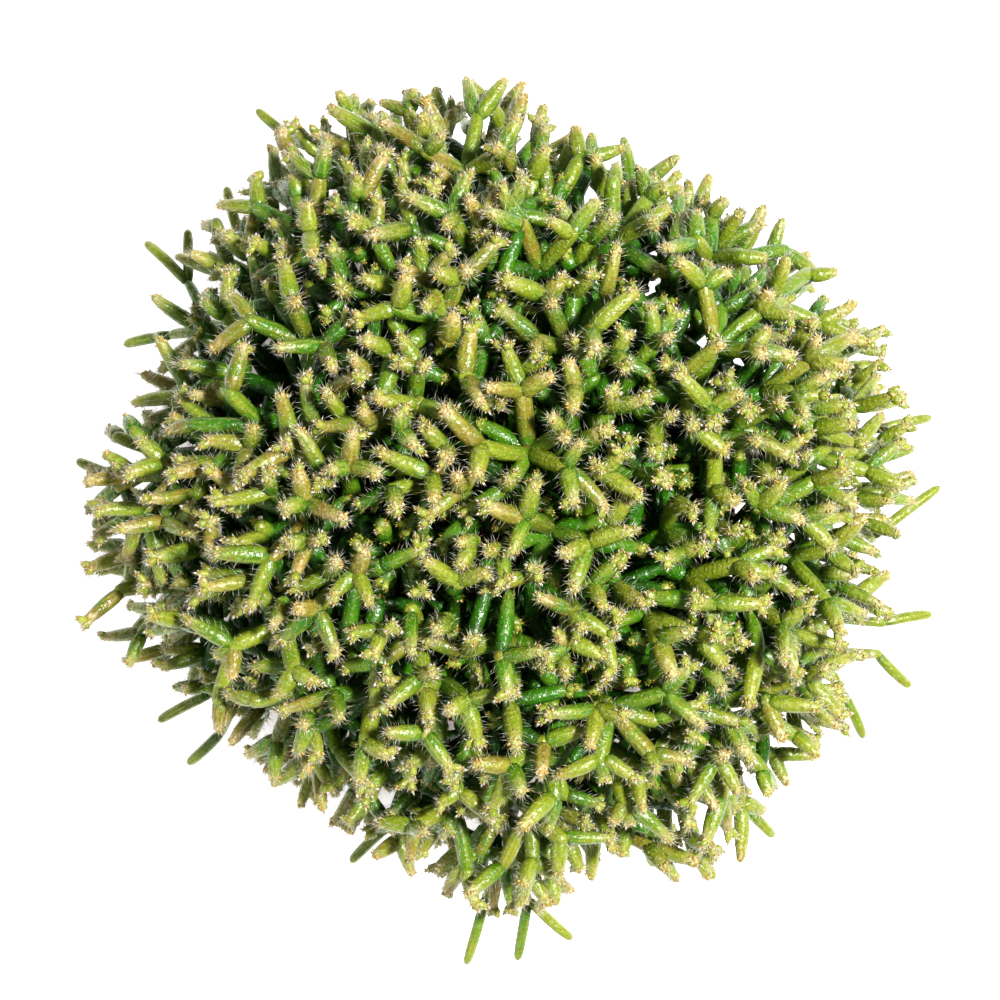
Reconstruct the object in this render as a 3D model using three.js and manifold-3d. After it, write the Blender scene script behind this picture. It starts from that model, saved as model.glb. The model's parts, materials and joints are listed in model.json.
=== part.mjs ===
// A mistletoe cactus (Rhipsalis) in its pot: rooted stems that branch in whorls of short cylindrical
// joints and close into one dome. Millimetres, +Z up, origin at the middle of the pot's underside.
// Each rooted stem is one solid, because it grew as one piece.
import * as THREE from 'three';
import { mergeVertices } from 'three/addons/utils/BufferGeometryUtils.js';
import Module from 'manifold-3d';

const wasm = await Module();
wasm.setup();

const { degToRad, lerp } = THREE.MathUtils;

// --- Driving dimensions ---

const TOUCHING_GAP = 0.3;

// Grower's pot: 11 cm across the rim, with a band round the rim.
const POT_SIDES = 28;
const POT_HEIGHT = 95;
const RIM_RADIUS = 55;
const RIM_BAND = 12;
const RIM_STEP = 1.8;
const BASE_RADIUS = 39;
const POT_WALL = 1.3;
const POT_FLOOR = 1.8;
const EDGE_ROUND = 0.8;
const DRAIN_HOLES = 6;
const DRAIN_SIDES = 6;
const DRAIN_RADIUS = 4;
const DRAIN_CIRCLE = 27;

// Potting mix, a little heaped in the middle.
const SOIL_EDGE = 88;
const SOIL_SHOULDER = 89.5;
const SOIL_MIDDLE = 91;
const SHOULDER_MARGIN = 3;

// The dome that the joints fill: its widest level, its height above that, and the depth of the skirt
// that hangs past the rim. The radii are taken every 15 degrees, anticlockwise from +X.
const CROWN_LEVEL = 104;
const CROWN_HEIGHT = 62;
const SKIRT_DEPTH = 34;
const CROWN_RADII = [
  89, 92, 96, 91, 89, 89, 92, 94, 97, 94, 92, 90, 91, 92, 88, 86, 86, 90, 91, 93, 95, 93, 89, 88,
];

// Rooted stems, spread over the mix like the seeds of a sunflower. Each cane stands straight up to
// its knee, above the rim, and its trunk bows from there to a place under the dome's surface.
const STEMS = 32;
const STEM_CIRCLE = 43;
const STEM_FOOT = 72;
const KNEE_LEVEL = 99;
const KNEE_VARIES = 3;
const GOLDEN_ANGLE = Math.PI * (3 - Math.sqrt(5));
const LOWEST_AIM = degToRad(103);
const TOP_CROWDING = 0.62;
const AIM_DEPTH = [21, 27];
const AIM_TURN = [-0.12, 0.12];
const TRUNK_BOW = 0.12;
const TRUNK_JOINT = 34;
const CANE_RADIUS = 2.2;

// Joints, the cylindrical lengths between two whorls. A joint has a narrow neck that springs from
// inside its parent, a full body and a blunt tip. Radii are those of a round joint, and the
// four-sided ones are wider at their corners, so that they look as thick.
const JOINT_SIDES = 4;
const CORNER_RADIUS = 1.11;
const BELLY = 0.22;
const SHOULDER = 0.86;
const SHOULDER_RADIUS = 0.94;
const CLEARANCE = 0.75;
const SHORTEST = 8;
const RADIUS_VARIES = [0.94, 1.06];
const SIBLING_ANGLE = degToRad(40);
const OUTWARD_PULL = 0.25;
const DROOP = 0.45;
const WHORLS = [
  { least: 3, most: 3, length: [14, 18], tilt: [34, 62], radius: 2.1, reach: 0.88 },
  { least: 3, most: 3, length: [12, 17], tilt: [36, 74], radius: 2, reach: 1 },
];

// Each joint is the roomiest of several tries, which lie near its even place in the whorl.
const SEED = 20177;
const TRIES = 16;
const TURN_SPREAD = [-0.9, 0.9];

// Long smooth shoots that trail out of the dome, by where their last joint starts and ends as seen
// from above.
const SHOOT_RADIUS = 1.5;
const SHOOT_JOINT = 17;
const SHOOT_LEVELS = [-8, -4, -12, 0, -16, 4, -20, 8];
const SHOOT_DIP = 4;
const SHOOT_PARENTS = 5;
const FURTHER_IN = 0.06;
const SAME_PLACE = 2;
const SHOOTS = [
  { from: [-48, 81], to: [-57, 89] },
  { from: [-42, 70], to: [-54, 77] },
  { from: [-61, 60], to: [-64, 71] },
  { from: [-73, 49], to: [-83, 58] },
  { from: [-73, 49], to: [-73, 61] },
  { from: [-77, 36], to: [-88, 34] },
  { from: [-90, 3], to: [-99, 7] },
  { from: [-90, 3], to: [-95, -9] },
  { from: [-85, -17], to: [-93, -12] },
  { from: [-69, -41], to: [-78, -37] },
  { from: [-68, -47], to: [-80, -54] },
  { from: [-65, -57], to: [-73, -64] },
  { from: [-26, -79], to: [-35, -87] },
  { from: [-4, -95], to: [-8, -111] },
  { from: [7, -96], to: [4, -110] },
  { from: [7, -96], to: [17, -105] },
  { from: [33, -79], to: [36, -88] },
  { from: [46, -82], to: [50, -91] },
  { from: [58, -74], to: [64, -81] },
  { from: [80, -48], to: [85, -58] },
  { from: [89, -38], to: [96, -46] },
  { from: [90, -31], to: [101, -29] },
  { from: [87, -12], to: [103, 1] },
  { from: [84, 0], to: [96, 1] },
  { from: [86, 6], to: [97, 10] },
  { from: [88, 14], to: [101, 17] },
  { from: [-11, 84], to: [-21, 94] },
];

// --- The dome ---

function crownRadius(x, y) {
  const count = CROWN_RADII.length;
  const turn = ((Math.atan2(y, x) / (2 * Math.PI)) * count + count) % count;
  const before = Math.floor(turn) % count;
  return lerp(CROWN_RADII[before], CROWN_RADII[(before + 1) % count], turn - Math.floor(turn));
}

// 0 in the middle of the dome and 1 on its surface.
function reachOf({ x, y, z }) {
  const rise = z - CROWN_LEVEL;
  const height = rise > 0 ? CROWN_HEIGHT : SKIRT_DEPTH;
  return Math.hypot(Math.hypot(x, y) / crownRadius(x, y), rise / height);
}

// The point in a given direction from the dome's middle, at a given depth under its surface.
function domePoint(around, down, depth) {
  const [x, y] = [Math.cos(around), Math.sin(around)];
  const across = Math.sin(down) * crownRadius(x, y);
  const rise = Math.cos(down) * (Math.cos(down) > 0 ? CROWN_HEIGHT : SKIRT_DEPTH);
  const reach = 1 - depth / Math.hypot(across, rise);
  return new THREE.Vector3(across * x * reach, across * y * reach, CROWN_LEVEL + rise * reach);
}

// --- Growth ---

const joints = [];
let state = SEED;

// The next number from 0 to 1 of a fixed sequence.
function draw() {
  state = (48271 * state) % 2147483647;
  return state / 2147483647;
}

const drawFrom = ([low, high]) => low + (high - low) * draw();

// Where the children of a joint spring from: the middle of its round tip.
function socketOf({ start, end, radius }) {
  return end.clone().lerp(start, radius / start.distanceTo(end));
}

const alongOf = ({ start, end }) => end.clone().sub(start);

function clamp01(value) {
  return Math.min(Math.max(value, 0), 1);
}

// The distance from a joint's tip to the nearest joint other than its parent.
function roomAt({ parent, end }) {
  const others = joints.filter((other) => other !== parent);
  const distances = others.map((other) => {
    const along = alongOf(other);
    const apart = end.clone().sub(other.start);
    return apart.addScaledVector(along, -clamp01(apart.dot(along) / along.dot(along))).length();
  });
  return Math.min(...distances);
}

// The distance between the middle lines of two joints.
function distanceBetween(one, other) {
  const [d1, d2] = [alongOf(one), alongOf(other)];
  const apart = one.start.clone().sub(other.start);
  const [a, e, b] = [d1.dot(d1), d2.dot(d2), d1.dot(d2)];
  const [c, f] = [d1.dot(apart), d2.dot(apart)];
  const skew = a * e - b * b;
  const nearest = skew > 1e-9 ? clamp01((b * f - c * e) / skew) : 0;
  const t = clamp01((b * nearest + f) / e);
  const s = clamp01((b * t - c) / a);
  return apart.addScaledVector(d1, s).addScaledVector(d2, -t).length();
}

// Joints other than canes stay above the rim or outside it.
function clearsPot({ start, end, radius }) {
  const space = radius + CLEARANCE;
  return [0, 0.25, 0.5, 0.75, 1].every((share) => {
    const { x, y, z } = start.clone().lerp(end, share);
    return z > POT_HEIGHT + space || Math.hypot(x, y) > RIM_RADIUS + space;
  });
}

// A joint keeps clear of all others, and leaves its parent at an angle to its siblings.
function clearsJoints(joint) {
  return joints.every((other) => {
    if (other === joint.parent) return true;
    if (other.parent === joint.parent) return alongOf(other).angleTo(alongOf(joint)) > SIBLING_ANGLE;
    return distanceBetween(joint, other) > joint.radius + other.radius + CLEARANCE;
  });
}

function grow(parent, end, radius) {
  const joint = { parent, stem: parent.stem, start: socketOf(parent), end, radius };
  joints.push(joint);
  return joint;
}

// A unit vector at a tilt from an axis, turned round it by an angle.
function leaning(axis, tilt, turn) {
  const across = new THREE.Vector3(0, 0, 1);
  if (Math.abs(axis.z) > 0.9) across.set(1, 0, 0);
  const side = across.cross(axis).normalize();
  const front = axis.clone().cross(side);
  return axis
    .clone()
    .multiplyScalar(Math.cos(tilt))
    .addScaledVector(side, Math.sin(tilt) * Math.cos(turn))
    .addScaledVector(front, Math.sin(tilt) * Math.sin(turn));
}

// The cane of a rooted stem and the trunk that carries its whorls into the dome.
function growTrunk(stem) {
  const share = (stem + 0.5) / STEMS;
  const around = stem * GOLDEN_ANGLE;
  const across = STEM_CIRCLE * Math.sqrt(share);
  const start = new THREE.Vector3(across * Math.cos(around), across * Math.sin(around), STEM_FOOT);
  const knee = start.clone().setZ(KNEE_LEVEL + KNEE_VARIES * draw());
  const cane = { parent: null, stem, start, end: knee, radius: CANE_RADIUS };
  joints.push(cane);
  const down = LOWEST_AIM * share ** TOP_CROWDING;
  const aim = domePoint(around + drawFrom(AIM_TURN), down, drawFrom(AIM_DEPTH));
  const distance = knee.distanceTo(aim);
  const bend = knee.clone().lerp(aim, 0.5);
  bend.z += TRUNK_BOW * distance;
  const path = new THREE.QuadraticBezierCurve3(knee, bend, aim);
  const count = Math.max(1, Math.round(distance / TRUNK_JOINT));
  let tip = cane;
  for (let i = 1; i <= count; i += 1) {
    tip = grow(tip, path.getPoint(i / count), CANE_RADIUS);
  }
  return tip;
}

// One try at a child joint, cut short where it would leave the dome, or null.
function tryChild(parent, rule, turn) {
  const start = socketOf(parent);
  const outwards = start.clone().setZ(start.z - CROWN_LEVEL).normalize();
  const heading = leaning(alongOf(parent).normalize(), degToRad(drawFrom(rule.tilt)), turn);
  heading.addScaledVector(outwards, OUTWARD_PULL);
  heading.z -= DROOP * Math.hypot(outwards.x, outwards.y) ** 4;
  heading.normalize();
  let length = drawFrom(rule.length);
  const radius = rule.radius * drawFrom(RADIUS_VARIES);
  const end = start.clone().addScaledVector(heading, length);
  while (reachOf(end) > rule.reach && length > SHORTEST) {
    length -= 1;
    end.copy(start).addScaledVector(heading, length);
  }
  const joint = { parent, start, end, radius };
  const fits = reachOf(end) <= rule.reach && clearsPot(joint) && clearsJoints(joint);
  return fits ? joint : null;
}

function growWhorl(parent, rule) {
  const count = rule.least + Math.floor(draw() * (rule.most - rule.least + 1));
  const first = 2 * Math.PI * draw();
  const grown = [];
  for (let i = 0; i < count; i += 1) {
    let [best, most] = [null, 0];
    for (let attempt = 0; attempt < TRIES; attempt += 1) {
      const turn = first + (2 * Math.PI * i) / count + drawFrom(TURN_SPREAD);
      const joint = tryChild(parent, rule, turn);
      const room = joint ? roomAt(joint) : 0;
      if (room > most) [best, most] = [joint, room];
    }
    if (best) grown.push(grow(parent, best.end, best.radius));
  }
  return grown;
}

// Joints from a parent's tip to a place and on to another, or none where something is in the way.
function growChain(parent, through, tip) {
  const before = joints.length;
  const distance = parent.end.distanceTo(through);
  const count = distance < SAME_PLACE ? 0 : Math.ceil(distance / SHOOT_JOINT);
  const stops = [];
  for (let i = 1; i <= count; i += 1) {
    stops.push(parent.end.clone().lerp(through, i / count));
  }
  stops.push(tip);
  let last = parent;
  for (const end of stops) {
    const joint = { parent: last, start: socketOf(last), end, radius: SHOOT_RADIUS };
    if (!clearsPot(joint) || !clearsJoints(joint)) {
      joints.length = before;
      return [];
    }
    last = grow(last, end, SHOOT_RADIUS);
  }
  return joints.slice(before);
}

// A shoot springs from the nearest joint that lies further in, and dips a little on its way out.
function growShoot({ from, to }, ends) {
  for (const rise of SHOOT_LEVELS) {
    const place = new THREE.Vector3(from[0], from[1], CROWN_LEVEL + rise);
    const tip = new THREE.Vector3(to[0], to[1], place.z - SHOOT_DIP);
    const furthest = reachOf(place) - FURTHER_IN;
    const nearest = ends
      .filter(({ end }) => end.distanceTo(place) < SAME_PLACE || reachOf(end) < furthest)
      .sort((a, b) => a.end.distanceTo(place) - b.end.distanceTo(place));
    for (const parent of nearest.slice(0, SHOOT_PARENTS)) {
      const grown = growChain(parent, place, tip);
      if (grown.length > 0) return grown;
    }
  }
  return [];
}

// All trunks come first, then one whorl after the other over the whole plant, so that the stems
// share the room in the dome.
function growPlant() {
  const trunks = Array.from({ length: STEMS }, (_, stem) => growTrunk(stem));
  const boughs = trunks.flatMap((trunk) => growWhorl(trunk, WHORLS[0]));
  const ends = boughs.slice();
  for (const shoot of SHOOTS) {
    ends.push(...growShoot(shoot, ends));
  }
  boughs.forEach((bough) => growWhorl(bough, WHORLS[1]));
}

// --- Solids ---

// A closed solid of manifold-3d from a closed three.js geometry.
function solidOf(geometry) {
  geometry.deleteAttribute('normal');
  geometry.deleteAttribute('uv');
  const merged = mergeVertices(geometry, 1e-4);
  const corners = merged.index.array;
  const kept = [];
  for (let i = 0; i < corners.length; i += 3) {
    const [a, b, c] = corners.slice(i, i + 3);
    if (a !== b && b !== c && c !== a) kept.push(a, b, c);
  }
  return new wasm.Manifold(
    new wasm.Mesh({
      numProp: 3,
      vertProperties: merged.attributes.position.array,
      triVerts: Uint32Array.from(kept),
    }),
  );
}

function geometryOf(solid) {
  const { vertProperties, triVerts } = solid.getMesh();
  const geometry = new THREE.BufferGeometry();
  geometry.setAttribute('position', new THREE.BufferAttribute(vertProperties, 3));
  geometry.setIndex(new THREE.BufferAttribute(triVerts, 1));
  geometry.computeVertexNormals();
  return geometry;
}

// What a profile of [radius, height] points sweeps round a line from start along axis.
function turned(profile, sides, start = new THREE.Vector3(), axis = new THREE.Vector3(0, 0, 1)) {
  const points = profile.map(([radius, height]) => new THREE.Vector2(radius, height));
  const geometry = new THREE.LatheGeometry(points, sides);
  const up = new THREE.Vector3(0, 1, 0);
  geometry.applyQuaternion(new THREE.Quaternion().setFromUnitVectors(up, axis));
  geometry.translate(start.x, start.y, start.z);
  return solidOf(geometry);
}

function prism(x, y, low, height, radius, sides) {
  const profile = [[0, 0], [radius, 0], [radius, height], [0, height]];
  return turned(profile, sides, new THREE.Vector3(x, y, low));
}

const wallAt = (z) => lerp(BASE_RADIUS, RIM_RADIUS - RIM_STEP, z / POT_HEIGHT);
const innerAt = (z) => wallAt(z) - POT_WALL;

function potSolid() {
  const band = POT_HEIGHT - RIM_BAND;
  const profile = [
    [0, 0],
    [BASE_RADIUS - EDGE_ROUND, 0],
    [wallAt(EDGE_ROUND), EDGE_ROUND],
    [wallAt(band), band],
    [RIM_RADIUS - EDGE_ROUND, band],
    [RIM_RADIUS, POT_HEIGHT - EDGE_ROUND],
    [RIM_RADIUS - EDGE_ROUND, POT_HEIGHT],
    [innerAt(POT_HEIGHT), POT_HEIGHT - EDGE_ROUND],
    [innerAt(POT_FLOOR), POT_FLOOR],
    [0, POT_FLOOR],
  ];
  let pot = turned(profile, POT_SIDES);
  for (let i = 0; i < DRAIN_HOLES; i += 1) {
    const turn = (2 * Math.PI * i) / DRAIN_HOLES;
    const [x, y] = [DRAIN_CIRCLE * Math.cos(turn), DRAIN_CIRCLE * Math.sin(turn)];
    pot = pot.subtract(prism(x, y, -POT_FLOOR, 3 * POT_FLOOR, DRAIN_RADIUS, DRAIN_SIDES));
  }
  return pot;
}

// The mix fills the pot, with a plain hole for each cane.
function soilSolid() {
  const low = POT_FLOOR + TOUCHING_GAP;
  const profile = [
    [0, low],
    [innerAt(low) - TOUCHING_GAP, low],
    [innerAt(SOIL_EDGE) - TOUCHING_GAP, SOIL_EDGE],
    [STEM_CIRCLE + SHOULDER_MARGIN, SOIL_SHOULDER],
    [STEM_CIRCLE / 2, SOIL_MIDDLE],
    [0, SOIL_MIDDLE],
  ];
  let soil = turned(profile, POT_SIDES);
  const radius = CORNER_RADIUS * CANE_RADIUS + TOUCHING_GAP / Math.cos(Math.PI / JOINT_SIDES);
  for (const { start, end } of joints.filter(({ parent }) => parent === null)) {
    const bottom = STEM_FOOT - TOUCHING_GAP;
    soil = soil.subtract(prism(start.x, start.y, bottom, end.z - bottom, radius, JOINT_SIDES));
  }
  return soil;
}

function jointSolid({ start, end, radius }) {
  const axis = end.clone().sub(start);
  const length = axis.length();
  const corner = CORNER_RADIUS * radius;
  const profile = [
    [0, 0],
    [corner, BELLY * length],
    [SHOULDER_RADIUS * corner, SHOULDER * length],
    [0, length],
  ];
  return turned(profile, JOINT_SIDES, start, axis.divideScalar(length));
}

function stemSolid(index) {
  const own = joints.filter(({ stem }) => stem === index);
  return own.map(jointSolid).reduce((whole, joint) => whole.add(joint));
}

// --- Scene graph ---

const potPlastic = new THREE.MeshStandardMaterial({ color: 0xa8553a, roughness: 0.55, metalness: 0 });
const pottingMix = new THREE.MeshStandardMaterial({ color: 0x3a2a1e, roughness: 1, metalness: 0 });
const greenStem = new THREE.MeshStandardMaterial({ color: 0x5f8a35, roughness: 0.5, metalness: 0 });

function named(name, solid, material) {
  const mesh = new THREE.Mesh(geometryOf(solid), material);
  mesh.name = name;
  return mesh;
}

growPlant();

const plant = new THREE.Group();
plant.add(named('pot', potSolid(), potPlastic), named('soil', soilSolid(), pottingMix));
for (let index = 0; index < STEMS; index += 1) {
  const number = String(index + 1).padStart(2, '0');
  plant.add(named(`spray_${number}`, stemSolid(index), greenStem));
}

export default plant;
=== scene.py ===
"""Finishes a potted mistletoe cactus: jointed stems with their bristles and young tips, the pot and
the potting mix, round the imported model. Lengths in the growth rule are millimetres, as in the model."""

import json
import math
from functools import lru_cache

import bpy
import numpy as np
from mathutils import Matrix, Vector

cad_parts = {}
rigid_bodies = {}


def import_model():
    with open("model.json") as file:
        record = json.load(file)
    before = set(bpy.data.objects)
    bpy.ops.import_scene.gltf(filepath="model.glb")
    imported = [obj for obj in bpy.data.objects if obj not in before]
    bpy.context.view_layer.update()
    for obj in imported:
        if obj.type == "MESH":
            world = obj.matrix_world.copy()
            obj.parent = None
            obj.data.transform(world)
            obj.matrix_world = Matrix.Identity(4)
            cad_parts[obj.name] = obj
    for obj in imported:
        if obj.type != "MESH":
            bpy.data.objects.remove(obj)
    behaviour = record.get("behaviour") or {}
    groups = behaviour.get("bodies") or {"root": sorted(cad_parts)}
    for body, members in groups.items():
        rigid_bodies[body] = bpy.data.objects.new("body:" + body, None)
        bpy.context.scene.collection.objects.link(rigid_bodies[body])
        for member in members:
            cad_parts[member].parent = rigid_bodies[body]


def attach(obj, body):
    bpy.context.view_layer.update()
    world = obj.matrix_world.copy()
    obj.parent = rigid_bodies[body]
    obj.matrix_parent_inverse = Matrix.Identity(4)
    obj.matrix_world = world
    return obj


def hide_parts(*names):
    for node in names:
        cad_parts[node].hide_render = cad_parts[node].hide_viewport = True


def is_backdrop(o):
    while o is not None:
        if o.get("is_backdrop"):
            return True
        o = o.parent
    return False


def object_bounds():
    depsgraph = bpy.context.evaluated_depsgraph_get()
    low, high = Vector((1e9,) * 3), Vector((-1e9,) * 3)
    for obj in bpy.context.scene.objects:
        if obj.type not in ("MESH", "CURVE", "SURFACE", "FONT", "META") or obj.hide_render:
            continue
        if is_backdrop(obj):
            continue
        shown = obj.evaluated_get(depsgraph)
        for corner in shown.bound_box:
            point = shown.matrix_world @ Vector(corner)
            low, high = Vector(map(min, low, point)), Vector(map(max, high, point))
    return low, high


bl_info = {
    "name": "Potted Mistletoe Cactus",
    "version": (1, 0, 0),
    "blender": (4, 5, 0),
    "location": "View3D > Sidebar > Cactus",
    "description": "Builds the stems, bristles, pot and potting mix of a mistletoe cactus",
    "category": "Add Mesh",
}

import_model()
CAD_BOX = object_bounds()
BODY = "root"
MM = 0.001

# ---------------------------------------------------------------- the plant's growth

POT_HEIGHT, RIM_RADIUS, RIM_BAND, RIM_STEP = 95.0, 55.0, 12.0, 1.8
BASE_RADIUS, POT_WALL, POT_FLOOR = 39.0, 1.3, 1.8
DRAIN_HOLES, DRAIN_RADIUS, DRAIN_CIRCLE = 6, 4.0, 27.0
SOIL_EDGE, SOIL_SHOULDER, SOIL_MIDDLE = 88.0, 89.5, 91.0

# The dome that the joints fill, with its radius every 15 degrees, anticlockwise from +X, and the
# ragged outline that the joints between and beyond those of the solids fill.
CROWN_LEVEL, CROWN_HEIGHT, SKIRT_DEPTH = 104.0, 62.0, 34.0
CROWN_RADII = (
    89, 92, 96, 91, 89, 89, 92, 94, 97, 94, 92, 90, 91, 92, 88, 86, 86, 90, 91, 93, 95, 93, 89, 88,
)  # fmt: skip
RAGGED_RADII = (
    90, 97, 87, 81, 81, 78, 90, 88, 94, 86, 78, 78, 94, 101, 81, 80, 81, 83, 96, 83, 97, 87, 99, 85,
)  # fmt: skip

STEMS, STEM_CIRCLE, STEM_FOOT, KNEE_LEVEL, KNEE_VARIES = 32, 43.0, 72.0, 99.0, 3.0
GOLDEN_ANGLE = math.pi * (3 - math.sqrt(5))
LOWEST_AIM, TOP_CROWDING = math.radians(103), 0.62
AIM_DEPTH, AIM_TURN = (21, 27), (-0.12, 0.12)
TRUNK_BOW, TRUNK_JOINT, CANE_RADIUS = 0.12, 34.0, 2.2
RADIUS_VARIES, SIBLING_ANGLE = (0.94, 1.06), math.radians(40)
OUTWARD_PULL, DROOP, TURN_SPREAD = 0.25, 0.45, (-0.9, 0.9)
# The random draws: a plain multiplying generator, the same as the solids'.
SEED, MULTIPLIER, MODULUS = 20177, 48271, 2147483647
MOST_JOINTS, BESIDE_POT = 9000, 4

# Long smooth shoots, by where their last joint starts and ends as seen from above.
SHOOT_RADIUS, SHOOT_JOINT, SHOOT_DIP, SHOOT_PARENTS = 1.5, 17.0, 4.0, 5
SHOOT_LEVELS = (-8, -4, -12, 0, -16, 4, -20, 8)
FURTHER_IN, SAME_PLACE = 0.06, 2.0
SHOOTS = (
    (-48, 81, -57, 89), (-42, 70, -54, 77), (-61, 60, -64, 71), (-73, 49, -83, 58),
    (-73, 49, -73, 61), (-77, 36, -88, 34), (-90, 3, -99, 7), (-90, 3, -95, -9),
    (-85, -17, -93, -12), (-69, -41, -78, -37), (-68, -47, -80, -54), (-65, -57, -73, -64),
    (-26, -79, -35, -87), (-4, -95, -8, -111), (7, -96, 4, -110), (7, -96, 17, -105),
    (33, -79, 36, -88), (46, -82, 50, -91), (58, -74, 64, -81), (80, -48, 85, -58),
    (89, -38, 96, -46), (90, -31, 101, -29), (87, -12, 103, 1), (84, 0, 96, 1),
    (86, 6, 97, 10), (88, 14, 101, 17), (-11, 84, -21, 94),
)  # fmt: skip

# What a joint is. The numbers pick its shape and its coat of bristles.
TRUNK, BOUGH, BRANCH, YOUNG, BUD, SHOOT, DEEP = range(7)

# Whorls of children. The first two are those of the solids, and the others fill the room between.
WHORL = {"least": 3, "most": 3, "shortest": 8, "clearance": 0.75, "sibling": SIBLING_ANGLE}
WHORL |= {"droop": DROOP, "pull": OUTWARD_PULL, "room": 0, "tries": 16, "outline": CROWN_RADII}
WHORL |= {"flank": 0, "stray": 0, "varies": RADIUS_VARIES}
FIRST = WHORL | {"length": (14, 18), "tilt": (34, 62), "radius": 2.1, "reach": 0.88}
SECOND = WHORL | {"length": (12, 17), "tilt": (36, 74), "radius": 2.0, "reach": 1.0}
CLOSE = WHORL | {"shortest": 6, "clearance": 0.1, "sibling": math.radians(32), "tries": 10}
CLOSE |= {"outline": RAGGED_RADII, "varies": (0.86, 1.1)}
INNER = CLOSE | {"least": 3, "most": 5, "length": (12, 19), "tilt": (40, 100), "radius": 2.0}
INNER |= {"reach": 0.86, "room": 2.5, "droop": 0.3, "clearance": -0.1}
UNDER = INNER | {"least": 2, "most": 4, "tilt": (50, 120), "reach": 0.88, "room": 2.3}
UNDER |= {"pull": 0, "clearance": -0.3}
THIRD = CLOSE | {"least": 2, "most": 3, "length": (11, 17), "tilt": (34, 82), "radius": 2.0}
THIRD |= {"reach": 0.96, "room": 3.1, "pull": 0.12, "flank": 0.4}
NEWEST = CLOSE | {"least": 2, "most": 3, "length": (8.5, 14), "tilt": (38, 84), "radius": 2.0}
NEWEST |= {"reach": 0.99, "stray": 0.1, "room": 3.0, "shortest": 6.5, "clearance": -0.15}
NEWEST |= {"pull": 0.1, "flank": 0.6}
BUDS = CLOSE | {"least": 1, "most": 4, "length": (1.8, 3.6), "tilt": (20, 75), "radius": 1.3}
BUDS |= {"reach": 1.05, "room": 0.8, "shortest": 1.8, "clearance": -0.9, "tries": 2}
BUDS |= {"sibling": math.radians(25)}
OUTER_REACH, UNDER_LEVEL, SHADED, LIT = 0.66, 128, 0.8, 0.9
# The girth of a round joint against the solids' square ones, at two levels.
SLIMNESS = (110, 158), (0.87, 0.98)
AGES = {TRUNK: 1.0, BOUGH: 0.75, BRANCH: 0.5, YOUNG: 0.25, BUD: 0.0, SHOOT: 0.65, DEEP: 0.65}
OWN_SEED, SAG = 7000, 0.2


def dot(a, b):
    return a[0] * b[0] + a[1] * b[1] + a[2] * b[2]


def cross(a, b):
    return (a[1] * b[2] - a[2] * b[1], a[2] * b[0] - a[0] * b[2], a[0] * b[1] - a[1] * b[0])


def unit(v):
    length = math.sqrt(dot(v, v))
    return (v[0] / length, v[1] / length, v[2] / length)


def moved(place, heading, length):
    return tuple(p + h * length for p, h in zip(place, heading))


def between(a, b, share):
    return tuple(p + (q - p) * share for p, q in zip(a, b))


def crown_radius(x, y, radii=CROWN_RADII):
    count = len(radii)
    turn = (math.atan2(y, x) / (2 * math.pi) * count + count) % count
    before = int(turn) % count
    share = turn - math.floor(turn)
    return radii[before] * (1 - share) + radii[(before + 1) % count] * share


def reach_of(place, radii=CROWN_RADII):
    """0 in the middle of the dome and 1 on its surface."""
    rise = place[2] - CROWN_LEVEL
    height = CROWN_HEIGHT if rise > 0 else SKIRT_DEPTH
    across = math.hypot(place[0], place[1]) / crown_radius(place[0], place[1], radii)
    return math.hypot(across, rise / height)


def over_pot(place):
    return math.hypot(place[0], place[1]) < RIM_RADIUS + BESIDE_POT


def dome_point(around, down, depth):
    x, y = math.cos(around), math.sin(around)
    across = math.sin(down) * crown_radius(x, y)
    rise = math.cos(down) * (CROWN_HEIGHT if math.cos(down) > 0 else SKIRT_DEPTH)
    reach = 1 - depth / math.hypot(across, rise)
    return (across * x * reach, across * y * reach, CROWN_LEVEL + rise * reach)


def leaning(axis, tilt, turn):
    """A unit vector at a tilt from an axis, turned round it by an angle."""
    side = unit(cross((1, 0, 0) if abs(axis[2]) > 0.9 else (0, 0, 1), axis))
    front = cross(axis, side)
    a, b, c = math.cos(tilt), math.sin(tilt) * math.cos(turn), math.sin(tilt) * math.sin(turn)
    return tuple(axis[i] * a + side[i] * b + front[i] * c for i in range(3))


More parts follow.
